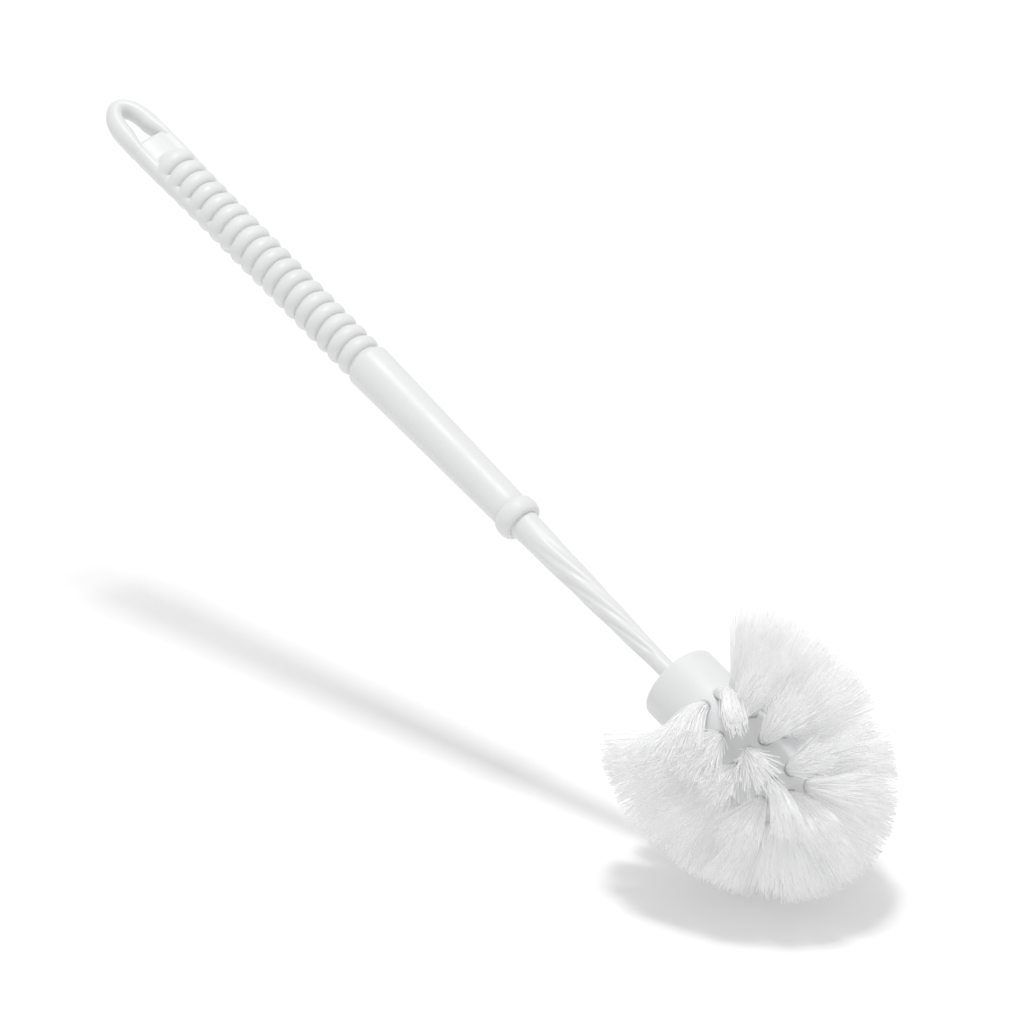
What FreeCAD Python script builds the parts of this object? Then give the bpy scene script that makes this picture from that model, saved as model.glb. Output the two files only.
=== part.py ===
import FreeCAD, Part
import math
import os

# A toilet brush: a grip with a hanging loop, a twisted shank pushed into it, and a head of
# stapled bristle tufts on the shank's end. The axis is Z, the bristle nose stands at the
# origin and the loop is at the top. The loop is wide along X and open along Y.
# All sizes are in millimetres and all angles in degrees.

# Bristles
bristle_length = 30.0          # free bristle at the nose, from the core to the tips
bristle_reach = 30.5           # free bristle at the widest place
bristle_widest_height = 62.0   # height of the widest place
bristle_back_height = 90.0     # height of the bristles' flat back
bristle_back_step = 7.0        # how far the back edge is drawn in
envelope_steps = 8             # points on each curve of the trimmed outline
tuft_diameter = 4.0            # a tuft where it leaves its hole
tuft_spread = 14.0             # half angle by which a tuft opens
tuft_proud = 0.6               # straight stretch of a tuft above its hole
tuft_wall = 0.7                # plastic left between the hole bottoms of the fullest row
straight_row_counts = [12, 12, 12]
straight_row_pitch = 11.5
straight_row_start = 7.0       # first straight row above the centre of the core's dome
straight_row_lean = 10.0       # its lean towards the nose
straight_row_lean_step = -14.0  # change of lean from one straight row to the next
dome_rows = [(10, 28.0), (6, 58.0), (1, 90.0)]  # tufts in the row, lean towards the nose

# Head core
core_radius = 14.0
core_length = 64.0             # from its domed nose to its flat back
core_rim_round = 1.3

# Anchor plates that hold the tufts in their holes
anchor_thickness = 0.4
anchor_height = 1.4
anchor_bite = 0.25             # how far each end is driven into the wall of the hole
anchor_floor_gap = 0.6         # fold of the tuft under the plate

# Shank
shank_length = 80.5            # from the back of the core to the mouth of the grip
shank_top_diameter = 10.6
shank_growth_power = 0.85      # how the radius grows from the neck to the mouth
neck_diameter = 6.2
neck_length = 10.0             # plain stretch behind the core
spigot_length = 20.0           # plain stretch inside the core
spigot_chamfer = 0.8
spigot_clearance = 0.05        # radial, spigot in socket
socket_end_gap = 1.0
flute_count = 7
flute_depth = 0.42
flute_run_in = 6.0             # the flutes deepen over this length from the neck
flute_fade_length = 18.0       # they fade out again over this length below the mouth
flute_twist = 2.6              # degrees per millimetre once the twist is full
flute_straight_length = 24.0   # the twist starts over this length below the mouth
flute_section_step = 4.0
flute_points = 4               # corners of the outline to each flute
tail_diameter = 8.6            # plain tail pushed into the grip
tail_length = 44.0
tail_end_gap = 1.0

# Grip
mouth_gap = 0.1                # radial gap round the shank at the mouth
mouth_depth = 0.4
collar_length = 6.5
collar_diameter = 15.8
sleeve_length = 77.0
sleeve_low_diameter = 13.0
sleeve_top_diameter = 15.8
sleeve_shoulder = 2.0
rib_count = 18
rib_pitch = 5.75
rib_diameter = 15.4
rib_width = 5.0
rib_depth = 1.8
rib_offset = 3.8               # middle of the lowest rib above the sleeve

# Hanging loop
bridge_length = 11.4           # solid stretch between the top rib and the opening
bridge_depth = 7.0
opening_length = 14.2
opening_width = 7.0            # at its flat foot
opening_tip_width = 3.8        # where its rounded end starts
arm_width = 4.85               # an arm beside the foot of the opening
arm_depth = 7.8
loop_tip_length = 14.0         # rounded end of the loop, measured outside
loop_tip_thickness = 6.0
loop_bend_steps = 16
arm_corners = 16               # facets round an arm
spine_steps = 5
spine_length = 77.0            # the arms run down over the ribs this far below the opening
spine_end_depth = 1.6
spine_end_width = 2.4
spine_end_sink = 0.4           # outer side of the spine's end under the groove floor

core_nose_z = bristle_length
dome_centre_z = core_nose_z + core_radius
core_back_z = core_nose_z + core_length
mouth_z = core_back_z + shank_length
sleeve_z = mouth_z + collar_length
sleeve_top_z = sleeve_z + sleeve_length
low_rib_z = sleeve_top_z + rib_offset
ribs_top_z = low_rib_z + (rib_count - 1) * rib_pitch + rib_width / 2.0
opening_z = ribs_top_z + bridge_length
opening_top_z = opening_z + opening_length
loop_top_z = opening_top_z + loop_tip_thickness
groove_radius = rib_diameter / 2.0 - rib_depth
widest_radius = core_radius + bristle_reach
hole_bottom_radius = max(straight_row_counts) * (tuft_diameter + tuft_wall) / (2.0 * math.pi)
hole_depth = core_radius - hole_bottom_radius


def point(x, y, z):
    return FreeCAD.Vector(x, y, z)


def line(start, end):
    return Part.LineSegment(start, end).toShape()


def arc(start, middle, end):
    return Part.Arc(start, middle, end).toShape()


def chain(corners):
    """Straight edges through (radius, height) corners, in order."""
    points = [point(radius, 0, height) for radius, height in corners]
    return [line(a, b) for a, b in zip(points, points[1:])]


def smooth_curve(points):
    curve = Part.BSplineCurve()
    curve.interpolate(points)
    return curve.toShape()


def facing_out(solid):
    """The solid with its faces turned outwards."""
    if solid.Volume < 0:
        solid.reverse()
    return solid


def turned(edges):
    """Solid of revolution about Z from a closed outline in the XZ plane, given in order."""
    outline = Part.Face(Part.Wire(edges))
    return facing_out(outline.revolve(point(0, 0, 0), point(0, 0, 1), 360))


def lofted(sections):
    """Solid through closed sections, straight from each one to the next."""
    return facing_out(Part.makeLoft(sections, True, True))


def smooth_step(share):
    share = min(1.0, max(0.0, share))
    return share * share * (3.0 - 2.0 * share)


def along(outward, side, base):
    """Matrix that puts local X along side and local Z along outward, at base."""
    across = outward.cross(side)
    return FreeCAD.Matrix(
        side.x, across.x, outward.x, base.x,
        side.y, across.y, outward.y, base.y,
        side.z, across.z, outward.z, base.z,
        0, 0, 0, 1,
    )


# Head

def tuft_places():
    """Every tuft as row, number, mouth of its hole, outward direction, sideways direction."""
    rows = []
    for i, count in enumerate(straight_row_counts):
        height = dome_centre_z + straight_row_start + i * straight_row_pitch
        lean = straight_row_lean + i * straight_row_lean_step
        rows.append((count, lean, core_radius, height))
    for count, lean in dome_rows:
        out = core_radius * math.cos(math.radians(lean))
        down = core_radius * math.sin(math.radians(lean))
        rows.append((count, lean, out, dome_centre_z - down))
    places = []
    for row, (count, lean, radius, height) in enumerate(rows, start=1):
        stagger = 0.5 if row % 2 == 0 else 0.0
        tilt = math.radians(lean)
        for number in range(count):
            turn = 2.0 * math.pi * (number + stagger) / count
            c, s = math.cos(turn), math.sin(turn)
            mouth = point(radius * c, radius * s, height)
            outward = point(c * math.cos(tilt), s * math.cos(tilt), -math.sin(tilt))
            places.append((row, number + 1, mouth, outward, point(-s, c, 0)))
    return places


def bristle_envelope():
    """The body that the tips are trimmed to: half an ellipse up to the widest place, then a
    short bulge in to the flat back."""
    dome, bulge = [], []
    for i in range(envelope_steps + 1):
        share = i / envelope_steps
        turn = math.pi / 2.0 * share
        height = bristle_widest_height * (1.0 - math.cos(turn))
        dome.append(point(widest_radius * math.sin(turn), 0, height))
        height = bristle_widest_height + (bristle_back_height - bristle_widest_height) * share
        bulge.append(point(widest_radius - bristle_back_step * share ** 2, 0, height))
    back = point(0, 0, bristle_back_height)
    edges = [smooth_curve(dome), smooth_curve(bulge)]
    edges += [line(bulge[-1], back), line(back, dome[0])]
    return turned(edges)


def anchor_plate(mouth, outward, side):
    """Flat plate across a hole near its bottom, with its long way along side."""
    width = tuft_diameter + 2.0 * anchor_bite
    plate = Part.makeBox(
        width, anchor_thickness, anchor_height, point(-width / 2.0, -anchor_thickness / 2.0, 0)
    )
    base = mouth - outward * (hole_depth - anchor_floor_gap)
    return plate.transformGeometry(along(outward, side, base))


def tuft(mouth, outward, side, envelope):
    """Straight root in its hole, then a widening cone cut off at the envelope."""
    longest = bristle_length + bristle_reach
    radius = tuft_diameter / 2.0
    straight = hole_depth + tuft_proud
    root = Part.makeCylinder(radius, straight, mouth - outward * hole_depth, outward)
    flare = Part.makeCone(
        radius,
        radius + longest * math.tan(math.radians(tuft_spread)),
        longest,
        mouth + outward * tuft_proud,
        outward,
    )
    whole = root.fuse(flare.common(envelope)).removeSplitter()
    return whole.cut(anchor_plate(mouth, outward, side)).Solids[0]


def head_core(places):
    """Domed block with a flat back, a socket for the shank and a blind hole for each tuft."""
    rim = core_rim_round
    bend = rim * (1.0 - math.sqrt(0.5))
    nose = point(0, 0, core_nose_z)
    equator = point(core_radius, 0, dome_centre_z)
    dome_middle = point(
        core_radius * math.sqrt(0.5), 0, dome_centre_z - core_radius * math.sqrt(0.5)
    )
    side_top = point(core_radius, 0, core_back_z - rim)
    rim_middle = point(core_radius - bend, 0, core_back_z - bend)
    back_edge = point(core_radius - rim, 0, core_back_z)
    socket_radius = neck_diameter / 2.0 + spigot_clearance
    socket_end_z = core_back_z - spigot_length - socket_end_gap
    edges = [arc(nose, dome_middle, equator), line(equator, side_top)]
    edges.append(arc(side_top, rim_middle, back_edge))
    edges += chain([
        (core_radius - rim, core_back_z),
        (socket_radius, core_back_z),
        (socket_radius, socket_end_z),
        (0, socket_end_z),
        (0, core_nose_z),
    ])
    block = turned(edges)
    radius = tuft_diameter / 2.0
    holes = []
    for _, _, mouth, outward, _ in places:
        length = hole_depth + core_radius
        holes.append(Part.makeCylinder(radius, length, mouth - outward * hole_depth, outward))
    return block.cut(holes)


# Shank

def shank_radius(height):
    """Outer radius: the neck's up to the flutes, then growing to the mouth."""
    foot = core_back_z + neck_length
    share = max(0.0, (height - foot) / (mouth_z + mouth_depth - foot))
    growth = (shank_top_diameter - neck_diameter) / 2.0
    chamfer = max(0.0, core_back_z - spigot_length + spigot_chamfer - height)
    return neck_diameter / 2.0 - chamfer + growth * share ** shank_growth_power


def flute_angle(height):
    """Turn of the flutes at a height: none at the mouth, then more and more, then steady."""
    below = mouth_z - height
    if below < flute_straight_length:
        return flute_twist * max(0.0, below) ** 2 / (2.0 * flute_straight_length)
    return flute_twist * (below - flute_straight_length / 2.0)


def flute_outline(height):
    """Closed outline at a height: a circle with rounded grooves."""
    foot = core_back_z + neck_length
    depth = flute_depth * smooth_step((height - foot) / flute_run_in)
    depth *= smooth_step((mouth_z - height) / flute_fade_length)
    turn = math.radians(flute_angle(height))
    count = flute_count * flute_points
    points = []
    for i in range(count):
        around = 2.0 * math.pi * i / count
        groove = (0.5 + 0.5 * math.cos(flute_count * around)) ** 2
        radius = shank_radius(height) - depth * groove
        points.append(
            point(radius * math.cos(around + turn), radius * math.sin(around + turn), height)
        )
    return Part.makePolygon(points + points[:1])


def shank():
    """Spigot, neck, fluted stretch and tail, in one moulding."""
    end_z = core_back_z - spigot_length
    foot = core_back_z + neck_length
    top = mouth_z + mouth_depth
    steps = math.ceil((top - foot) / flute_section_step)
    heights = [end_z, end_z + spigot_chamfer]
    heights += [foot + (top - foot) * i / steps for i in range(steps + 1)]
    body = lofted([flute_outline(height) for height in heights])
    return body.fuse(Part.makeCylinder(tail_diameter / 2.0, tail_length, point(0, 0, top)))


# Grip

def grip_barrel():
    """Ribs, sleeve, collar and the bore for the shank's tail, turned in one outline."""
    collar_radius = collar_diameter / 2.0
    low_radius = sleeve_low_diameter / 2.0
    top_radius = sleeve_top_diameter / 2.0
    mouth_radius = shank_top_diameter / 2.0 + mouth_gap
    bore_radius = tail_diameter / 2.0
    bore_end = mouth_z + mouth_depth + tail_length + tail_end_gap
    step = top_radius - groove_radius
    shoulder = [
        point(top_radius, 0, sleeve_top_z - sleeve_shoulder),
        point(
            groove_radius + step * math.sqrt(0.5),
            0,
            sleeve_top_z - sleeve_shoulder * (1.0 - math.sqrt(0.5)),
        ),
        point(groove_radius, 0, sleeve_top_z),
    ]
    collar_low = point(low_radius, 0, mouth_z)
    collar_high = point(low_radius, 0, sleeve_z)
    edges = chain([
        (0, bore_end),
        (bore_radius, bore_end),
        (bore_radius, mouth_z + mouth_depth),
        (mouth_radius, mouth_z + mouth_depth),
        (mouth_radius, mouth_z),
        (low_radius, mouth_z),
    ])
    collar_middle = point(collar_radius, 0, mouth_z + collar_length / 2.0)
    edges.append(arc(collar_low, collar_middle, collar_high))
    edges += [line(collar_high, shoulder[0]), arc(*shoulder)]
    last = shoulder[-1]
    for i in range(rib_count):
        middle = low_rib_z + i * rib_pitch
        low = point(groove_radius, 0, middle - rib_width / 2.0)
        crest = point(rib_diameter / 2.0, 0, middle)
        high = point(groove_radius, 0, middle + rib_width / 2.0)
        edges += [line(last, low), arc(low, crest, high)]
        last = high
    top = point(0, 0, last.z)
    edges += [line(last, top), line(top, point(0, 0, bore_end))]
    return turned(edges)


def arm_section(centre, width_way, width, depth):
    """Oval outline of an arm: width along width_way in the XZ plane, depth along Y."""
    wide = width_way * (width / 2.0)
    deep = point(0, depth / 2.0, 0)
    points = []
    for i in range(arm_corners):
        around = 2.0 * math.pi * (i + 0.5) / arm_corners
        points.append(centre + wide * math.cos(around) + deep * math.sin(around))
    return Part.makePolygon(points + points[:1])


def loop_and_spines():
    """One oval bar: up one side of the ribs, round the loop's tip and down the other side.
    Over the ribs it thins and sinks in, and so makes the smooth spines. Beside the opening it
    grows inwards, so the opening narrows towards the tip."""
    outer_x = opening_width / 2.0 + arm_width
    foot_x = outer_x - arm_width / 2.0
    end_x = groove_radius - spine_end_sink - spine_end_width / 2.0
    inner_x = opening_tip_width / 2.0
    tip_z = loop_top_z - loop_tip_length
    inner_height = loop_tip_length - loop_tip_thickness
    leg = []
    for i in range(spine_steps + 1):
        share = i / spine_steps
        grown = math.sin(math.pi / 2.0 * share)
        x = end_x + (foot_x - end_x) * grown
        z = opening_z - spine_length * (1.0 - share)
        width = spine_end_width + (arm_width - spine_end_width) * grown
        depth = spine_end_depth + (arm_depth - spine_end_depth) * share
        leg.append((x, z, width, depth))
    sections = [arm_section(point(x, 0, z), point(1, 0, 0), w, d) for x, z, w, d in leg]
    for i in range(loop_bend_steps + 1):
        turn = math.pi * i / loop_bend_steps
        c, s = math.cos(turn), math.sin(turn)
        outer = point(outer_x * c, 0, tip_z + loop_tip_length * s)
        inner = point(inner_x * c, 0, tip_z + inner_height * s)
        way = outer - inner
        width = way.Length
        sections.append(arm_section((outer + inner) * 0.5, way.normalize(), width, arm_depth))
    for x, z, w, d in reversed(leg):
        sections.append(arm_section(point(-x, 0, z), point(-1, 0, 0), w, d))
    return lofted(sections)


def bridge():
    """Block that closes the foot of the loop's opening with a flat end."""
    width = opening_width + arm_width
    low = ribs_top_z - rib_width
    corner = point(-width / 2.0, -bridge_depth / 2.0, low)
    return Part.makeBox(width, bridge_depth, opening_z - low, corner)


def grip():
    return grip_barrel().fuse([loop_and_spines(), bridge()])


# Files

def write(name, shape):
    if not shape.isValid():
        raise ValueError(name + " is not a valid shape")
    print(name, shape.ShapeType, len(shape.Solids), "volume", round(shape.Volume, 1))
    shape.exportStep("parts/" + name + ".step")


def main():
    os.makedirs("parts", exist_ok=True)
    places = tuft_places()
    envelope = bristle_envelope()
    write("grip", grip())
    write("shank", shank())
    write("head_core", head_core(places))
    plates = [anchor_plate(mouth, outward, side) for _, _, mouth, outward, side in places]
    write("tuft_anchors", Part.makeCompound(plates))
    for row, number, mouth, outward, side in places:
        name = "tuft_row%d_%02d" % (row, number)
        write(name, tuft(mouth, outward, side, envelope))


main()
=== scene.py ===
import bpy
import numpy as np
from mathutils import Matrix, Vector


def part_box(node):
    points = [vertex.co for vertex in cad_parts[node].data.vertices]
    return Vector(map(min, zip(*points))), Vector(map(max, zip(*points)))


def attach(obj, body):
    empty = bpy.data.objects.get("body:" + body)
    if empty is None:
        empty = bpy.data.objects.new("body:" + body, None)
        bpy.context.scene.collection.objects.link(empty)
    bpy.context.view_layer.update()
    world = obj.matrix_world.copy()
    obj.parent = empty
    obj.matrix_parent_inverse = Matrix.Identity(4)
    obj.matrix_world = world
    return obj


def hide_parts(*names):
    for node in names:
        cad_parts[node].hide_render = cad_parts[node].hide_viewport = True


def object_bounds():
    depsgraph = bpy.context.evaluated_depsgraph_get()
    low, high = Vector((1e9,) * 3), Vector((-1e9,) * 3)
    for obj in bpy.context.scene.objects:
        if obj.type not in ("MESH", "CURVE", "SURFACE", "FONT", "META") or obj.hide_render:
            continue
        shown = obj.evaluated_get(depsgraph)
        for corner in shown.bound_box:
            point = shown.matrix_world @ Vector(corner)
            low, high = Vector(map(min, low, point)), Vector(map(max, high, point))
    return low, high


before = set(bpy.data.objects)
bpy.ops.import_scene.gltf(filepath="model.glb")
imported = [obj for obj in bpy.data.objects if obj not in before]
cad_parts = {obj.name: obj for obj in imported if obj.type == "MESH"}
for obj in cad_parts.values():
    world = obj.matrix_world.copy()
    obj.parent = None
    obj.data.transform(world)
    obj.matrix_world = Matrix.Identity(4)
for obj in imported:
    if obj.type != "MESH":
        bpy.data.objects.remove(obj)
cadLow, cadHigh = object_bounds()
print("frame loaded:", len(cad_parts), "nodes")

mm = 0.001                  # sizes of pieces are in millimetres, the camera's and floor's in metres
gripLow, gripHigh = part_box("grip")
coreLow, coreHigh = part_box("head_core")
mouthZ = gripLow.z          # lower face of the collar
loopTopZ = gripHigh.z
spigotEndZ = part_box("shank")[0].z
coreNoseZ = coreLow.z
coreBackZ = coreHigh.z
coreRadius = coreHigh.x
bristleRadius = cadHigh.x


cameraLook = {
    "towards": (-0.450, -0.779, -0.438),   # from the brush to the camera
    "up": (0.450, -0.621, 0.642),
    "target": (0.0, 0.0, 0.1805),
    "distance": 6.0,
    "widthInView": 0.3385,                 # metres across the picture at the brush
    "sensor": 36.0,                        # millimetres
    "clip": (0.1, 50.0),
}


# The camera stands back from the target along one line, with its up squared to that line.
def makeCamera(look):
    back = Vector(look["towards"]).normalized()
    up = Vector(look["up"])
    up = (up - back * up.dot(back)).normalized()
    right = up.cross(back)
    data = bpy.data.cameras.new("camera")
    data.sensor_width = look["sensor"]
    data.lens = look["sensor"] * look["distance"] / look["widthInView"]
    data.clip_start, data.clip_end = look["clip"]
    camera = bpy.data.objects.new("camera", data)
    turn = Matrix((right, up, back)).transposed().to_4x4()
    turn.translation = Vector(look["target"]) + back * look["distance"]
    camera.matrix_world = turn
    bpy.context.scene.collection.objects.link(camera)
    bpy.context.scene.camera = camera


makeCamera(cameraLook)
print("camera made")


# Quads between neighbouring points of a rows x cols grid, wrapped round along the columns.
def ringFaces(rows, cols):
    r = np.arange(rows - 1)[:, None]
    c = np.arange(cols)[None, :]
    n = (c + 1) % cols
    quads = np.stack([r * cols + c, r * cols + n, (r + 1) * cols + n, (r + 1) * cols + c], -1)
    return quads.reshape(-1, 4)


# A fan of triangles from one point to a ring, turned the other way round if asked.
def fanFaces(ring, tip, flip):
    nxt = np.roll(ring, -1)
    ends = (nxt, ring) if flip else (ring, nxt)
    return np.stack([ends[0], ends[1], np.full(len(ring), tip)], -1)


# Six times the volume that triangles enclose: the sum over them of one corner's dot with
# the cross of the other two.
def signedVolume(points, tris):
    a, b, c = points[tris[:, 0]], points[tris[:, 1]], points[tris[:, 2]]
    return np.einsum("ij,ij->i", a, np.cross(b, c)).sum()


# A closed skin with its faces turned outwards by the sign of its volume.
def outwardSkin(points, quads, tris):
    halves = np.concatenate([quads[:, [0, 1, 2]], quads[:, [0, 2, 3]], tris])
    if signedVolume(points, halves) < 0:
        return points, quads[:, ::-1], tris[:, ::-1]
    return points, quads, tris


# Points and faces of outward skins into a smooth-shaded mesh object.
def putMesh(name, points, quads, tris):
    corners = np.concatenate([quads.ravel(), tris.ravel()]).astype(np.int32)
    sizes = np.concatenate([np.full(len(quads), 4), np.full(len(tris), 3)])
    starts = np.concatenate([[0], np.cumsum(sizes)[:-1]]).astype(np.int32)
    mesh = bpy.data.meshes.new(name)
    mesh.vertices.add(len(points))
    mesh.vertices.foreach_set("co", points.astype(np.float32).ravel())
    mesh.loops.add(len(corners))
    mesh.loops.foreach_set("vertex_index", corners)
    mesh.polygons.add(len(sizes))
    mesh.polygons.foreach_set("loop_start", starts)
    mesh.polygons.foreach_set("use_smooth", np.full(len(sizes), True))
    mesh.update(calc_edges=True)
    mesh.validate()
    piece = bpy.data.objects.new(name, mesh)
    bpy.context.scene.collection.objects.link(piece)
    return piece


# A grid of rings made into one closed skin, with a fan at each end.
def closedRings(rings):
    rows, cols = rings.shape[:2]
    points = np.concatenate([rings.reshape(-1, 3), rings[:1].mean(1), rings[-1:].mean(1)])
    first = np.arange(cols)
    last = first + (rows - 1) * cols
    tris = np.concatenate([
        fanFaces(first, rows * cols, True),
        fanFaces(last, rows * cols + 1, False),
    ])
    return outwardSkin(points, ringFaces(rows, cols), tris)


# Several closed skins as one list of points and faces.
def joinSkins(skins):
    points, quads, tris, offset = [], [], [], 0
    for p, q, t in skins:
        points.append(p)
        quads.append(q + offset)
        tris.append(t + offset)
        offset += len(p)
    return np.concatenate(points), np.concatenate(quads), np.concatenate(tris)


# Larger of two surfaces with a rounded meeting: half of their sum, and half the root of
# their gap squared plus the blend squared.
def smoothMax(a, b, blend):
    return 0.5 * (a + b + np.sqrt((a - b) ** 2 + blend ** 2))


# Three x squared less two x cubed, between nought and one.
def smoothStep(x):
    x = np.clip(x, 0.0, 1.0)
    return x * x * (3.0 - 2.0 * x)


# Points of an arc of an ellipse from angle a to angle b, as (radius, height) rows.
def ellipseArc(centre, size, a, b, count):
    t = np.radians(np.linspace(a, b, count))
    return np.stack([centre[0] + size[0] * np.cos(t), centre[1] + size[1] * np.sin(t)], -1)


# Evenly spaced (radius, height) rows from one to the other.
def straight(start, end, count):
    return np.linspace(start, end, count)


# An empty material with its node list, its links and its main shader.
def newMaterial(name):
    material = bpy.data.materials.new(name)
    material.use_nodes = True
    nodes = material.node_tree.nodes
    return material, nodes, material.node_tree.links, nodes["Principled BSDF"]


# Noise on object coordinates, so that the pattern stays on the piece.
def noiseOn(nodes, links, scale, detail):
    place = nodes.new("ShaderNodeTexCoord")
    noise = nodes.new("ShaderNodeTexNoise")
    noise.inputs["Scale"].default_value = scale
    noise.inputs["Detail"].default_value = detail
    links.new(place.outputs["Object"], noise.inputs["Vector"])
    return noise


noiseSpan = (0.3, 0.7)      # most of a noise lies between these


# The noise's span stretched to run from low to high.
def rangeOf(nodes, links, source, low, high):
    scale = nodes.new("ShaderNodeMapRange")
    scale.inputs["From Min"].default_value = noiseSpan[0]
    scale.inputs["From Max"].default_value = noiseSpan[1]
    scale.inputs["To Min"].default_value = low
    scale.inputs["To Max"].default_value = high
    links.new(source, scale.inputs["Value"])
    return scale.outputs["Result"]


# Colour A where the factor is nought and colour B where it is one.
def blendOf(nodes, links, factor, colourA, colourB):
    mix = nodes.new("ShaderNodeMix")
    mix.data_type = "RGBA"
    mix.inputs["A"].default_value = (*colourA, 1.0)
    mix.inputs["B"].default_value = (*colourB, 1.0)
    links.new(factor, mix.inputs["Factor"])
    return mix.outputs["Result"]


# Moulded plastic: slow cloudy tint, uneven gloss and a very fine orange-peel bump.
def mouldedPlastic(name, look):
    material, nodes, links, skin = newMaterial(name)
    cloud = noiseOn(nodes, links, look["cloudScale"], 3.0)
    tint = rangeOf(nodes, links, cloud.outputs["Fac"], 0.0, 1.0)
    colour = blendOf(nodes, links, tint, look["colour"], look["colourDull"])
    links.new(colour, skin.inputs["Base Color"])
    gloss = noiseOn(nodes, links, look["glossScale"], 4.0)
    rough = rangeOf(nodes, links, gloss.outputs["Fac"], look["roughLow"], look["roughHigh"])
    links.new(rough, skin.inputs["Roughness"])
    peel = noiseOn(nodes, links, look["peelScale"], 2.0)
    bump = nodes.new("ShaderNodeBump")
    bump.inputs["Strength"].default_value = look["peelStrength"]
    bump.inputs["Distance"].default_value = look["peelDepth"] * mm
    links.new(peel.outputs["Fac"], bump.inputs["Height"])
    links.new(bump.outputs["Normal"], skin.inputs["Normal"])
    skin.inputs["IOR"].default_value = look["ior"]
    return material


handleFinish = {
    "colour": (0.785, 0.789, 0.793),
    "colourDull": (0.755, 0.759, 0.763),
    "cloudScale": 40.0,
    "glossScale": 90.0,
    "roughLow": 0.37,
    "roughHigh": 0.50,
    "peelScale": 900.0,
    "peelStrength": 0.25,
    "peelDepth": 0.05,
    "ior": 1.49,
}
coreFinish = dict(handleFinish, roughLow=0.46, roughHigh=0.60)
bristleFinish = {
    "colour": (0.966, 0.966, 0.968),
    "colourDull": (0.938, 0.938, 0.940),
    "glow": 0.072,
    "cloudScale": 160.0,
    "glossScale": 400.0,
    "roughLow": 0.32,
    "roughHigh": 0.50,
    "peelScale": 2500.0,
    "peelStrength": 0.15,
    "peelDepth": 0.02,
    "ior": 1.50,
}
wireFinish = {
    "colour": (0.72, 0.58, 0.28),
    "colourDull": (0.60, 0.47, 0.22),
    "cloudScale": 600.0,
    "glossScale": 900.0,
    "roughLow": 0.25,
    "roughHigh": 0.45,
    "peelScale": 3000.0,
    "peelStrength": 0.2,
    "peelDepth": 0.02,
    "ior": 1.5,
}
handlePlastic = mouldedPlastic("handlePlastic", handleFinish)
corePlastic = mouldedPlastic("corePlastic", coreFinish)
bristlePlastic = mouldedPlastic("bristlePlastic", bristleFinish)
# A faint glow stands for the light that passes through the thin filaments.
bristleSkin = bristlePlastic.node_tree.nodes["Principled BSDF"]
bristleSkin.inputs["Emission Color"].default_value = (1.0, 1.0, 1.0, 1.0)
bristleSkin.inputs["Emission Strength"].default_value = bristleFinish["glow"]
wireMetal = mouldedPlastic("anchorWire", wireFinish)
wireMetal.node_tree.nodes["Principled BSDF"].inputs["Metallic"].default_value = 1.0
print("materials made")


# Material, moving body and the CAD nodes that the piece stands for, which are hidden.
def finishPiece(piece, body, material, nodes):
    piece.data.materials.append(material)
    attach(piece, body)
    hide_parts(*nodes)


gripShape = {
    "mouthRadius": 5.33,
    "mouthDepth": 0.25,
    "mouthRound": 0.1,
    "boreCap": 1.0,             # the mouth's blind end is flat from this radius out
    "collarLength": 6.5,
    "collarRadius": 7.9,
    "sleeveLength": 77.0,
    "sleeveLowRadius": 6.5,
    "sleeveTopRadius": 7.9,
    "sleeveShoulder": 2.0,
    "sleeveFoot": (0.05, 0.1),  # the sleeve starts this far out and up from the collar's end
    "ribCount": 18,
    "ribPitch": 5.75,
    "ribRadius": 7.7,
    "ribWidth": 5.0,
    "ribDepth": 1.8,
    "ribOffset": 3.8,
    "ribRoundness": 1.05,       # a rib's bulge is the cosine to this power
    "stemRadius": 2.6,          # the barrel inside the bridge, hidden
    "stemStart": 3.0,
    "bridgeLength": 11.4,
    "bridgeReach": 0.8,         # past the middles of the arms
    "bridgeHalfDepth": 3.5,
    "bridgeRound": 0.7,
    "bridgeSquareness": 3.2,
    "openingHalfWidth": 3.5,
    "openingTipHalfWidth": 1.9,
    "armHalfWidth": 2.425,
    "armHalfDepth": 3.9,
    "legTaper": 0.08,           # how much the arms thin where the loop's legs take over
    "legLap": 7.0,
    "footTaper": 0.24,          # how much a leg's foot thins, to start inside its arm
    "loopScale": 0.995,         # a hair slimmer than the arms
    "tipLength": 14.0,
    "tipThickness": 6.0,
    "spineLength": 77.0,
    "spineEndHalfDepth": 0.8,
    "spineEndHalfWidth": 1.2,
    "spineEndSink": 0.4,
    "blend": 0.45,              # how softly barrel, arms and bridge meet
    "around": 144,
    "loopAround": 48,
}


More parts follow.
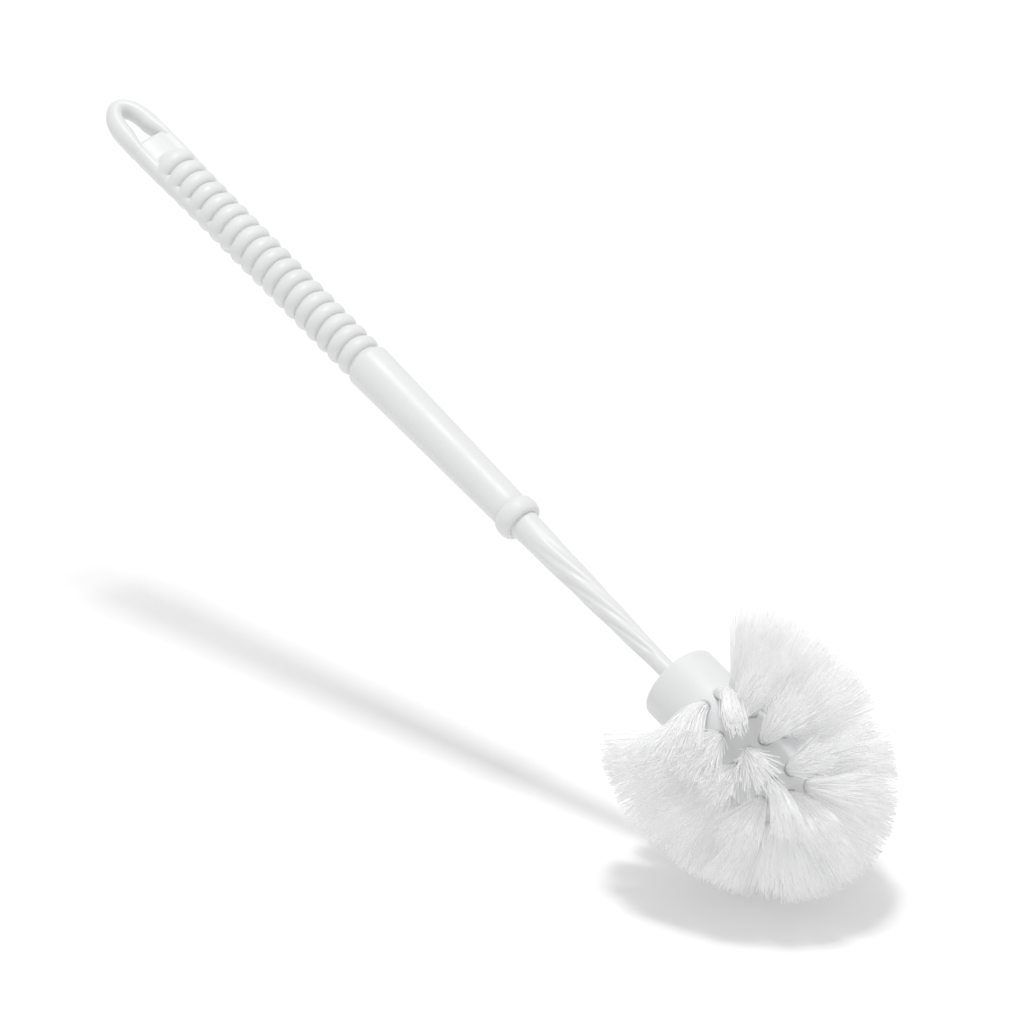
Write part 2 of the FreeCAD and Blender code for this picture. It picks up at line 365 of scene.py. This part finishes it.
# Outline of the barrel from inside the mouth up to the top of the bridge, as (radius, height)
# rows: arcs for the collar, the shoulder and each rib, and straight lines between them.
def gripOutline(s, mouth, openingHeight):
    low, top = s["sleeveLowRadius"], s["sleeveTopRadius"]
    collarTop = mouth + s["collarLength"]
    sleeveTop = collarTop + s["sleeveLength"]
    groove = s["ribRadius"] - s["ribDepth"]
    bore, turn = s["mouthRadius"], s["mouthRound"]
    blind = mouth + s["mouthDepth"]
    rows = [
        straight((s["boreCap"], blind), (bore, blind), 4),
        straight((bore, blind), (bore, mouth + turn), 4),
        ellipseArc((bore + turn, mouth + turn), (turn, turn), 180, 270, 6),
    ]
    bead = (s["collarRadius"] - low, s["collarLength"] / 2)
    rows.append(ellipseArc((low, mouth + bead[1]), bead, -90, 90, 30)[1:])
    straightTop = sleeveTop - s["sleeveShoulder"]
    foot = (low + s["sleeveFoot"][0], collarTop + s["sleeveFoot"][1])
    rows.append(straight(foot, (top, straightTop), 30))
    shoulder = (top - groove, s["sleeveShoulder"])
    rows.append(ellipseArc((groove, straightTop), shoulder, 0, 90, 10)[1:])
    for i in range(s["ribCount"]):
        middle = sleeveTop + s["ribOffset"] + i * s["ribPitch"]
        turns = np.radians(np.linspace(-90, 90, 19))
        radius = groove + s["ribDepth"] * np.cos(turns) ** s["ribRoundness"]
        rows.append(np.stack([radius, middle + s["ribWidth"] / 2 * np.sin(turns)], -1))
    last = rows[-1][-1]
    stem = s["stemRadius"]
    rows.append(ellipseArc((stem, last[1]), (groove - stem, stem), 0, 90, 10)[1:])
    rows.append(straight((stem, last[1] + s["stemStart"]), (stem, openingHeight), 14))
    return np.concatenate(rows)


# Polar radius of an oval whose middle is out along X: the far root of its quadratic, and
# nought where a ray from the axis misses it.
def ovalReach(turn, centre, halfWidth, halfDepth):
    c, s = np.abs(np.cos(turn)), np.abs(np.sin(turn))
    a = (c / halfWidth) ** 2 + (s / halfDepth) ** 2
    b = -2 * centre * c / halfWidth ** 2
    k = (centre / halfWidth) ** 2 - 1
    inside = b * b - 4 * a * k
    return np.where(inside > 0, (-b + np.sqrt(np.maximum(inside, 0))) / (2 * a), 0.0)


# Middle, half width and half depth of the arm over the ribs at a height, by a quarter sine from
# its sunk end, and the share of its length below that height.
def spineAt(s, height, openingHeight):
    share = np.clip(1 - (openingHeight - height) / s["spineLength"], 0, 1)
    grown = np.sin(np.pi / 2 * share)
    groove = s["ribRadius"] - s["ribDepth"]
    middle = s["openingHalfWidth"] + s["armHalfWidth"]
    end = groove - s["spineEndSink"] - s["spineEndHalfWidth"]
    halfWidth = s["spineEndHalfWidth"] + (s["armHalfWidth"] - s["spineEndHalfWidth"]) * grown
    halfDepth = s["spineEndHalfDepth"] + (s["armHalfDepth"] - s["spineEndHalfDepth"]) * share
    return end + (middle - end) * grown, halfWidth, halfDepth, share


# Barrel skin: the outline turned round the axis, raised to the spines and, near the top, to
# the bridge between them. The spines shrink a little at the top, where the legs take over.
def gripBarrel(s, mouth, openingHeight):
    outline = gripOutline(s, mouth, openingHeight)
    turn = np.arange(s["around"]) * 2 * np.pi / s["around"]
    radius, height = outline[:, :1], outline[:, 1:]
    centre, halfWidth, halfDepth, share = spineAt(s, height, openingHeight)
    taken = 1 - s["legTaper"] * smoothStep(1 - (openingHeight - height) / s["legLap"])
    arm = ovalReach(turn, centre, halfWidth * taken, halfDepth * taken)
    bridgeStart = openingHeight - s["bridgeLength"] - s["ribWidth"]
    power = s["bridgeSquareness"]
    edge = np.clip((height - (openingHeight - s["bridgeRound"])) / s["bridgeRound"], 0, 1)
    deep = s["bridgeHalfDepth"] - s["bridgeRound"] * (1 - np.sqrt(1 - edge ** 2))
    wide = centre + s["bridgeReach"]
    flat = (np.abs(np.cos(turn)) / wide) ** power + (np.abs(np.sin(turn)) / deep) ** power
    flat = flat ** (-1 / power) * (height > bridgeStart)
    raised = smoothMax(radius, smoothMax(arm, flat, s["blend"]), s["blend"])
    skin = np.where(share > 0, raised, radius)
    tall = np.broadcast_to(height, skin.shape)
    return np.stack([skin * np.cos(turn), skin * np.sin(turn), tall], -1)


# Loop skin: ovals between an outer and an inner line, up one leg, round the tip and down the
# other leg. The foot of each leg is thinner, so that it starts inside its arm.
def gripLoop(s, openingHeight, topHeight):
    outer = s["openingHalfWidth"] + 2 * s["armHalfWidth"]
    tip = topHeight - s["tipLength"]
    legs = np.linspace(openingHeight - s["legLap"], tip, 24)[:-1]
    bend = np.linspace(0, np.pi, 64)
    narrowing = np.clip((legs - openingHeight) / (tip - openingHeight), 0, 1)
    inner = s["openingHalfWidth"] + (s["openingTipHalfWidth"] - s["openingHalfWidth"]) * narrowing
    innerRise = s["tipLength"] - s["tipThickness"]
    c, rise = np.cos(bend), np.sin(bend)
    bendOut = np.stack([outer * c, tip + s["tipLength"] * rise], -1)
    bendIn = np.stack([s["openingTipHalfWidth"] * c, tip + innerRise * rise], -1)
    legOut = np.stack([np.full(len(legs), outer), legs], -1)
    legIn = np.stack([inner, legs], -1)
    mirror = np.array([-1.0, 1.0])
    outLine = np.concatenate([legOut, bendOut, legOut[::-1] * mirror])
    inLine = np.concatenate([legIn, bendIn, legIn[::-1] * mirror])
    middle, half = (outLine + inLine) / 2, (outLine - inLine) / 2
    turn = np.arange(s["loopAround"]) * 2 * np.pi / s["loopAround"]
    grown = 1 - s["footTaper"] * smoothStep(1 - (legs - legs[0]) / s["legLap"])
    size = np.concatenate([grown, np.ones(len(bend)), grown[::-1]])[:, None] * s["loopScale"]
    px = middle[:, :1] + half[:, :1] * np.cos(turn) * size
    pz = middle[:, 1:] + half[:, 1:] * np.cos(turn) * size
    return np.stack([px, s["armHalfDepth"] * np.sin(turn) * size, pz], -1)


# Barrel and loop in one piece, with the heights of the CAD grip.
def makeGrip(s):
    mouth, top = mouthZ / mm, loopTopZ / mm
    ribsTop = mouth + s["collarLength"] + s["sleeveLength"] + s["ribOffset"]
    ribsTop += (s["ribCount"] - 1) * s["ribPitch"] + s["ribWidth"] / 2
    openingHeight = ribsTop + s["bridgeLength"]
    skins = [closedRings(gripBarrel(s, mouth, openingHeight) * mm)]
    skins.append(closedRings(gripLoop(s, openingHeight, top) * mm))
    piece = putMesh("gripMoulding", *joinSkins(skins))
    finishPiece(piece, "handle", handlePlastic, ["grip"])


makeGrip(gripShape)
print("grip made")


shankShape = {
    "topRadius": 5.3,
    "neckRadius": 3.1,
    "growthPower": 0.85,
    "neckLength": 10.0,
    "neckStep": 4.0,            # rings this far above and below the head's back
    "spigotChamfer": 0.8,
    "mouthDepth": 0.35,
    "fluteCount": 7,
    "fluteDepth": 0.38,
    "fluteSharpness": 1.6,
    "runIn": 6.0,
    "fadeLength": 22.0,
    "twist": 2.6,               # degrees in each millimetre
    "straightLength": 24.0,     # below the mouth, where the twist sets in
    "rows": 260,
    "around": 168,
}


# Radius grows from the neck by a power of the height. Rounded grooves are cut in, and turn
# slowly below the mouth and then at a steady rate.
def shankRings(s, mouth, back, end):
    foot = back + s["neckLength"]
    top = mouth + s["mouthDepth"]
    step = s["neckStep"]
    plain = np.array([end, end + s["spigotChamfer"], back - step, back, back + step])
    height = np.concatenate([plain, np.linspace(foot, top, s["rows"])])[:, None]
    share = np.clip((height - foot) / (top - foot), 0, 1)
    chamfer = np.maximum(0, end + s["spigotChamfer"] - height)
    growth = s["topRadius"] - s["neckRadius"]
    radius = s["neckRadius"] - chamfer + growth * share ** s["growthPower"]
    below = np.maximum(0, mouth - height)
    slow = s["twist"] * below ** 2 / (2 * s["straightLength"])
    steady = s["twist"] * (below - s["straightLength"] / 2)
    twist = np.radians(np.where(below < s["straightLength"], slow, steady))
    turn = np.arange(s["around"]) * 2 * np.pi / s["around"]
    groove = (0.5 + 0.5 * np.cos(s["fluteCount"] * turn)) ** s["fluteSharpness"]
    depth = s["fluteDepth"] * smoothStep((height - foot) / s["runIn"])
    depth = depth * smoothStep((mouth - height) / s["fadeLength"])
    skin = radius - depth * groove
    tall = np.broadcast_to(height, skin.shape)
    return np.stack([skin * np.cos(turn + twist), skin * np.sin(turn + twist), tall], -1)


# The shank in one piece, from inside the grip's mouth to the end of its spigot.
def makeShank(s):
    rings = shankRings(s, mouthZ / mm, coreBackZ / mm, spigotEndZ / mm)
    piece = putMesh("shankRod", *closedRings(rings * mm))
    finishPiece(piece, "handle", handlePlastic, ["shank"])


makeShank(shankShape)
print("shank made")


headShape = {
    "straightRows": [12, 12, 12],
    "rowStart": 7.0,
    "rowPitch": 11.5,
    "rowLean": 10.0,            # degrees towards the nose in the first row
    "leanStep": -14.0,          # and how that changes from row to row
    "domeRows": [(10, 28.0), (6, 58.0), (1, 90.0)],     # how many tufts and their lean
    "holeRadius": 2.0,
    "dimpleDepth": 1.0,
    "dimpleEdge": 0.35,         # a dimple fades out this far past its hole
    "dimpleSlope": 0.5,         # width of that fade
    "dimpleReach": 3.0,         # no skin further along the hole's axis is pressed in
    "rimRound": 1.3,
    "sideStart": 0.4,           # below the rim's round
    "noseTurn": -89.0,          # degrees, where the dome stops short of the axis
    "socketRadius": 3.15,
    "socketChamfer": 0.5,
    "socketDepth": 15.0,
    "socketCap": 0.3,           # the socket's blind end is flat from this radius out
    "socketFoot": 0.5,
    "around": 220,
}


# Every tuft's row, name, hole mouth and outward direction, with every other row turned half
# a step round the axis.
def tuftPlaces(s):
    radius = coreRadius / mm
    middle = coreNoseZ / mm + radius
    rows = []
    for i, count in enumerate(s["straightRows"]):
        height = middle + s["rowStart"] + i * s["rowPitch"]
        rows.append((count, s["rowLean"] + i * s["leanStep"], radius, height))
    for count, lean in s["domeRows"]:
        tilt = np.radians(lean)
        rows.append((count, lean, radius * np.cos(tilt), middle - radius * np.sin(tilt)))
    places = []
    for row, (count, lean, out, height) in enumerate(rows, start=1):
        tilt = np.radians(lean)
        for number in range(count):
            turn = 2 * np.pi * (number + (0.5 if row % 2 == 0 else 0.0)) / count
            c, d = np.cos(turn), np.sin(turn)
            mouth = np.array([out * c, out * d, height])
            outward = np.array([c * np.cos(tilt), d * np.cos(tilt), -np.sin(tilt)])
            places.append((row, f"tuft_row{row}_{number + 1:02d}", mouth, outward))
    return places


# Core skin: socket, flat back, rounded rim, straight side and dome turned round the axis, then
# pressed in at each hole by a smooth step of the distance from the hole's axis.
def coreRings(s, places):
    radius, back = coreRadius / mm, coreBackZ / mm
    nose = coreNoseZ / mm
    rim, socket, chamfer = s["rimRound"], s["socketRadius"], s["socketChamfer"]
    blind, side = back - s["socketDepth"], back - rim - s["sideStart"]
    outline = np.concatenate([
        straight((s["socketCap"], blind), (socket, blind), 3),
        straight((socket, blind + s["socketFoot"]), (socket, back - chamfer), 4),
        straight((socket + chamfer, back), (radius - rim, back), 8),
        ellipseArc((radius - rim, back - rim), (rim, rim), 90, 0, 16)[1:],
        straight((radius, side), (radius, nose + radius), 130),
        ellipseArc((0.0, nose + radius), (radius, radius), 0, s["noseTurn"], 70)[1:],
    ])
    turn = np.arange(s["around"]) * 2 * np.pi / s["around"]
    reach, height = outline[:, :1], outline[:, 1:]
    tall = np.broadcast_to(height, (len(outline), len(turn)))
    points = np.stack([reach * np.cos(turn), reach * np.sin(turn), tall], -1)
    drilled = (tall < back - rim) & (reach > socket + chamfer)
    edge = s["holeRadius"] + s["dimpleEdge"]
    for _, _, mouth, outward in places:
        offset = points - mouth
        along = offset @ outward
        across = np.linalg.norm(offset - along[..., None] * outward, axis=-1)
        press = s["dimpleDepth"] * smoothStep((edge - across) / s["dimpleSlope"])
        press = press * drilled * (np.abs(along) < s["dimpleReach"])
        points = points - press[..., None] * outward
    return points


# The core block in one piece, with its socket and dimples.
def makeCore(s, places):
    piece = putMesh("headCoreBlock", *closedRings(coreRings(s, places) * mm))
    finishPiece(piece, "head", corePlastic, ["head_core"])


places = tuftPlaces(headShape)
makeCore(headShape, places)
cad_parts["tuft_anchors"].data.materials.clear()
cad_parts["tuft_anchors"].data.materials.append(wireMetal)
print("head core made,", len(places), "holes")


bristleShape = {
    "filaments": [185, 185, 185, 195, 220, 240],    # in a tuft of each row
    "filamentRadius": 0.145,
    "tipShare": 0.75,           # tip radius as a share of the root's
    "stations": 7,
    "sides": 4,
    "rootInside": 1.2,          # filaments start this far down the hole
    "rootFill": 0.9,            # share of the hole's radius that they fill
    "rootShare": 0.3,           # share of a filament that the outline doesn't pull in
    "spread": [14.5, 14.0, 15.0, 14.0, 17.5, 20.0],  # degrees at the edge of a tuft of each row
    "splay": (0.75, 1.15),      # least and most of that angle in a filament
    "straySpread": 1.8,         # degrees, any way
    "curl": 1.3,                # how far a tip strays from a straight line
    "sway": 3.0,                # how far a whole tuft leans
    "bendShare": 0.6,           # share of both that a usual tuft or filament has
    "bendPower": 1.7,           # the bend grows by this power towards the tip
    "skinGap": 0.25,            # tips stay this far inside the outline
    "endGap": 0.2,              # and this far inside its two ends
    "widestHeight": 62.0,
    "backHeight": 90.0,
    "backStep": 7.0,
    "trim": 0.06,               # uneven cutting, as a share of the length
    "clump": (0.82, 1.08),      # least and most of that spread in a tuft
    "startTurn": 6.28,          # most that a whole tuft is turned on its own axis, in radians
    "seed": 41,
}
longestFilament = 60.0      # longer than any that the outline leaves

# Tufts that use has pressed out of line: degrees more towards the nose, degrees round the
# axis, how far the tips are bent towards the nose and round the axis, share of the spread,
# longest filament.
pressed = {
    "tuft_row3_08": (22.0, -18.0, 2.0, 0.0, 0.9, longestFilament),
    "tuft_row3_09": (34.0, -22.0, 6.0, -4.0, 0.8, 33.0),
    "tuft_row3_10": (44.0, 0.0, 13.0, -19.0, 0.22, 34.0),
    "tuft_row2_08": (26.0, -3.0, 2.0, -2.0, 0.85, longestFilament),
    "tuft_row1_08": (12.0, 9.0, 0.0, 0.0, 0.8, longestFilament),
    "tuft_row2_09": (16.0, 16.0, 2.0, 0.0, 0.7, longestFilament),
    "tuft_row1_09": (31.0, -9.0, 0.0, 0.0, 0.75, longestFilament),
    "tuft_row1_10": (6.0, 2.0, 0.0, 0.0, 0.75, longestFilament),
    "tuft_row4_07": (22.0, -4.0, 0.0, 0.0, 0.75, longestFilament),
    "tuft_row4_08": (-2.0, -6.0, 0.0, 0.0, 0.8, longestFilament),
    "tuft_row5_05": (6.0, 10.0, 0.0, 0.0, 0.7, longestFilament),
}
straightTuft = (0.0, 0.0, 0.0, 0.0, 1.0, longestFilament)


# Radius of the trimmed bristle body at a height: half an ellipse below the widest place, and
# a step that grows by the square of the height above it.
def bodyRadius(s, height):
    full = bristleRadius / mm
    widest = s["widestHeight"]
    low = np.sqrt(np.clip(1 - ((widest - height) / widest) ** 2, 0, 1))
    up = np.clip((height - widest) / (s["backHeight"] - widest), 0, 1)
    return np.where(height < widest, full * low, full - s["backStep"] * up ** 2)


# How far a straight filament runs before it leaves the trimmed body, found by halving.
def trimmedLength(s, start, way):
    low = np.zeros(len(start))
    high = np.full(len(start), longestFilament)
    for _ in range(22):
        middle = (low + high) / 2
        p = start + way * middle[:, None]
        inside = np.hypot(p[:, 0], p[:, 1]) < bodyRadius(s, p[:, 2])
        inside &= (p[:, 2] > 0) & (p[:, 2] < s["backHeight"])
        low = np.where(inside, middle, low)
        high = np.where(inside, high, middle)
    return low


# A direction turned towards the nose and round the axis by so many degrees.
def knockedAside(outward, lean, turn):
    tilt = np.arcsin(-outward[2]) + np.radians(lean)
    around = np.arctan2(outward[1], outward[0]) + np.radians(turn)
    return np.array([np.cos(around) * np.cos(tilt), np.sin(around) * np.cos(tilt), -np.sin(tilt)])


# Starts and directions of a tuft's filaments: they stand a golden angle apart in a round
# bundle and fan out by their distance from its middle.
def tuftFan(s, row, mouth, outward, side, gathered, rng):
    count = s["filaments"][row - 1]
    across = np.cross(outward, side)
    index = np.arange(count) + 0.5
    ring = np.sqrt(index / count)
    turn = index * np.pi * (3 - np.sqrt(5)) + rng.uniform(0, s["startTurn"])
    flat = side * np.cos(turn)[:, None] + across * np.sin(turn)[:, None]
    bundle = headShape["holeRadius"] * s["rootFill"]
    start = mouth - outward * s["rootInside"] + flat * (ring * bundle)[:, None]
    spread = s["spread"][row - 1] * gathered * rng.uniform(*s["clump"])
    angle = np.radians(spread) * ring * rng.uniform(*s["splay"], count)
    way = outward * np.cos(angle)[:, None] + flat * np.sin(angle)[:, None]
    way += rng.normal(0, np.radians(s["straySpread"]), (count, 3))
    return start, way / np.linalg.norm(way, axis=1)[:, None]


# Points along each filament: a straight run and a bend that grows towards the tip, drawn in
# to the axis where it would pass the outline.
def bentPaths(s, start, way, length, bend, share):
    path = start[:, None] + way[:, None] * (length[:, None] * share)[..., None]
    path = path + bend[:, None] * (share ** s["bendPower"])[None, :, None]
    reach = np.hypot(path[..., 0], path[..., 1])
    limit = bodyRadius(s, np.clip(path[..., 2], 0, s["backHeight"])) - s["skinGap"]
    shrink = np.minimum(1, limit / np.maximum(reach, 1e-6))
    shrink = np.where(share[None, :] > s["rootShare"], shrink, 1)
    path[..., 0] *= shrink
    path[..., 1] *= shrink
    path[..., 2] = np.clip(path[..., 2], s["endGap"], s["backHeight"] - s["endGap"])
    return path


# A thin tapered tube along each filament: hoops square to its first direction, with a quad
# across each end.
def tubesAlong(s, path, way, side, share):
    hoopX = np.cross(way, side + 0.01)      # tilted, so that the two are never in line
    hoopX /= np.linalg.norm(hoopX, axis=1)[:, None]
    hoopY = np.cross(way, hoopX)
    corner = (np.arange(s["sides"]) * 2 * np.pi / s["sides"])[:, None]
    thick = s["filamentRadius"] * (1 - (1 - s["tipShare"]) * share)
    hoop = hoopX[:, None, None] * np.cos(corner) + hoopY[:, None, None] * np.sin(corner)
    points = path[:, :, None] + hoop * thick[None, :, None, None]
    perTube = s["stations"] * s["sides"]
    first = np.arange(s["sides"])
    caps = np.stack([first[::-1], first + perTube - s["sides"]])
    quads = np.concatenate([ringFaces(s["stations"], s["sides"]), caps])
    base = np.arange(len(path)) * perTube
    quads = (base[:, None, None] + quads[None]).reshape(-1, 4)
    return points.reshape(-1, 3), quads


# One tuft: a fan of filaments cut at the outline, bent a little and made into tubes.
def tuftMesh(s, row, node, mouth, outward, rng):
    lean, twist, droop, swing, gathered, longest = pressed.get(node, straightTuft)
    outward = knockedAside(outward, lean, twist)
    side = np.cross(outward, (0.0, 0.0, 1.0) if abs(outward[2]) < 0.9 else (1.0, 0.0, 0.0))
    side /= np.linalg.norm(side)
    start, way = tuftFan(s, row, mouth, outward, side, gathered, rng)
    length = np.minimum(trimmedLength(s, start, way), longest)
    length *= 1 - np.abs(rng.normal(0, s["trim"], len(start)))
    across = np.cross(outward, side)
    sway = (side * rng.normal() + across * rng.normal()) * s["sway"] * s["bendShare"]
    bend = sway + rng.normal(0, s["curl"] * s["bendShare"], (len(start), 3))
    bend += np.array([-outward[1], outward[0], 0.0]) * swing - np.array([0.0, 0.0, droop])
    share = np.linspace(0, 1, s["stations"])
    path = bentPaths(s, start, way, length, bend, share)
    points, quads = tubesAlong(s, path, way, side, share)
    name = node.replace("tuft", "bristles")
    noTris = np.zeros((0, 3), int)
    return putMesh(name, *outwardSkin(points * mm, quads, noTris))


# Every tuft as its own piece, drawn in row order from one seed.
def makeBristles(s, places):
    rng = np.random.default_rng(s["seed"])
    for row, node, mouth, outward in places:
        piece = tuftMesh(s, row, node, mouth, outward, rng)
        finishPiece(piece, "head", bristlePlastic, [node])


makeBristles(bristleShape, places)
print("bristles made")


# Floor, lamps and world
stageLook = {
    "floorNormal": (0.217, -0.892, 0.396),
    "floorGap": 0.0005,
    "floorSize": 4.0,
    "floorColour": 0.90,
    "floorMottle": 0.005,
    "floorRough": 0.9,
    "floorGrain": 60.0,
    "floorGlow": 0.05,
    "worldColour": (1.0, 1.0, 1.0),
    "worldStrength": 0.73,
    "keyTowards": (0.222, -0.891, 0.397),
    "keyAcross": (0.0, 0.30, 0.95),        # the two lamps stand apart this way
    "keyDistance": 3.0,
    "keySize": (0.45, 0.26),
    "keyGap": 0.36,
    "keyPower": 18.5,
}


# Matt white paper with a faint mottle and glow, see-through from behind.
def floorPaper(look):
    material, nodes, links, skin = newMaterial("floorPaper")
    grain = noiseOn(nodes, links, look["floorGrain"], 3.0)
    tint = rangeOf(nodes, links, grain.outputs["Fac"], 0.0, 1.0)
    pale = look["floorColour"]
    dull = pale - look["floorMottle"]
    colour = blendOf(nodes, links, tint, (pale, pale, pale), (dull, dull, dull))
    links.new(colour, skin.inputs["Base Color"])
    skin.inputs["Roughness"].default_value = look["floorRough"]
    skin.inputs["Emission Color"].default_value = (1.0, 1.0, 1.0, 1.0)
    skin.inputs["Emission Strength"].default_value = look["floorGlow"]
    side = nodes.new("ShaderNodeNewGeometry")
    clear = nodes.new("ShaderNodeBsdfTransparent")
    pick = nodes.new("ShaderNodeMixShader")
    links.new(side.outputs["Backfacing"], pick.inputs["Fac"])
    links.new(skin.outputs["BSDF"], pick.inputs[1])
    links.new(clear.outputs["BSDF"], pick.inputs[2])
    links.new(pick.outputs["Shader"], nodes["Material Output"].inputs["Surface"])
    return material


# A flat floor tilted as the brush lies on it, a small gap under the lowest point that the
# outline's lower half reaches along the floor's normal.
def makeFloor(look):
    normal = Vector(look["floorNormal"]).normalized()
    turn = np.linspace(0, np.pi / 2, 60)
    height = bristleShape["widestHeight"] * (1 - np.cos(turn)) * mm
    out = bristleRadius * np.sin(turn)
    level = (normal.z * height - np.hypot(normal.x, normal.y) * out).min() - look["floorGap"]
    half = look["floorSize"] / 2
    along = normal.orthogonal().normalized()
    across = normal.cross(along)
    middle = normal * float(level)
    signs = ((-1, -1), (1, -1), (1, 1), (-1, 1))
    corners = [middle + along * (half * a) + across * (half * b) for a, b in signs]
    mesh = bpy.data.meshes.new("floor")
    mesh.from_pydata([tuple(c) for c in corners], [], [(0, 1, 2, 3)])
    if mesh.polygons[0].normal.dot(normal) < 0:
        mesh.flip_normals()
    mesh.materials.append(floorPaper(look))
    floor = bpy.data.objects.new("floor", mesh)
    bpy.context.scene.collection.objects.link(floor)


# Two equal soft lamps side by side, facing the brush.
def makeLights(look):
    way = Vector(look["keyTowards"]).normalized()
    apart = Vector(look["keyAcross"])
    apart = (apart - way * apart.dot(way)).normalized()
    across = apart.cross(way)
    turn = Matrix((across, apart, way)).transposed().to_4x4()
    for side in (-0.5, 0.5):
        data = bpy.data.lights.new("softLamp", "AREA")
        data.shape = "RECTANGLE"
        data.size, data.size_y = look["keySize"]
        data.energy = look["keyPower"]
        light = bpy.data.objects.new("softLamp", data)
        middle = Vector(cameraLook["target"]) + way * look["keyDistance"]
        turn.translation = middle + apart * (look["keyGap"] * side)
        light.matrix_world = turn
        bpy.context.scene.collection.objects.link(light)


# Even pale light from all round.
def makeWorld(look):
    world = bpy.data.worlds.new("studio")
    world.use_nodes = True
    sky = world.node_tree.nodes["Background"]
    sky.inputs["Color"].default_value = (*look["worldColour"], 1.0)
    sky.inputs["Strength"].default_value = look["worldStrength"]
    bpy.context.scene.world = world


makeFloor(stageLook)
makeLights(stageLook)
makeWorld(stageLook)
bpy.context.scene.view_settings.view_transform = "Standard"
# Light needs many bounces to find its way out of the white bristles.
bpy.context.scene.cycles.diffuse_bounces = 12
bpy.context.scene.cycles.max_bounces = 16
print("stage made")
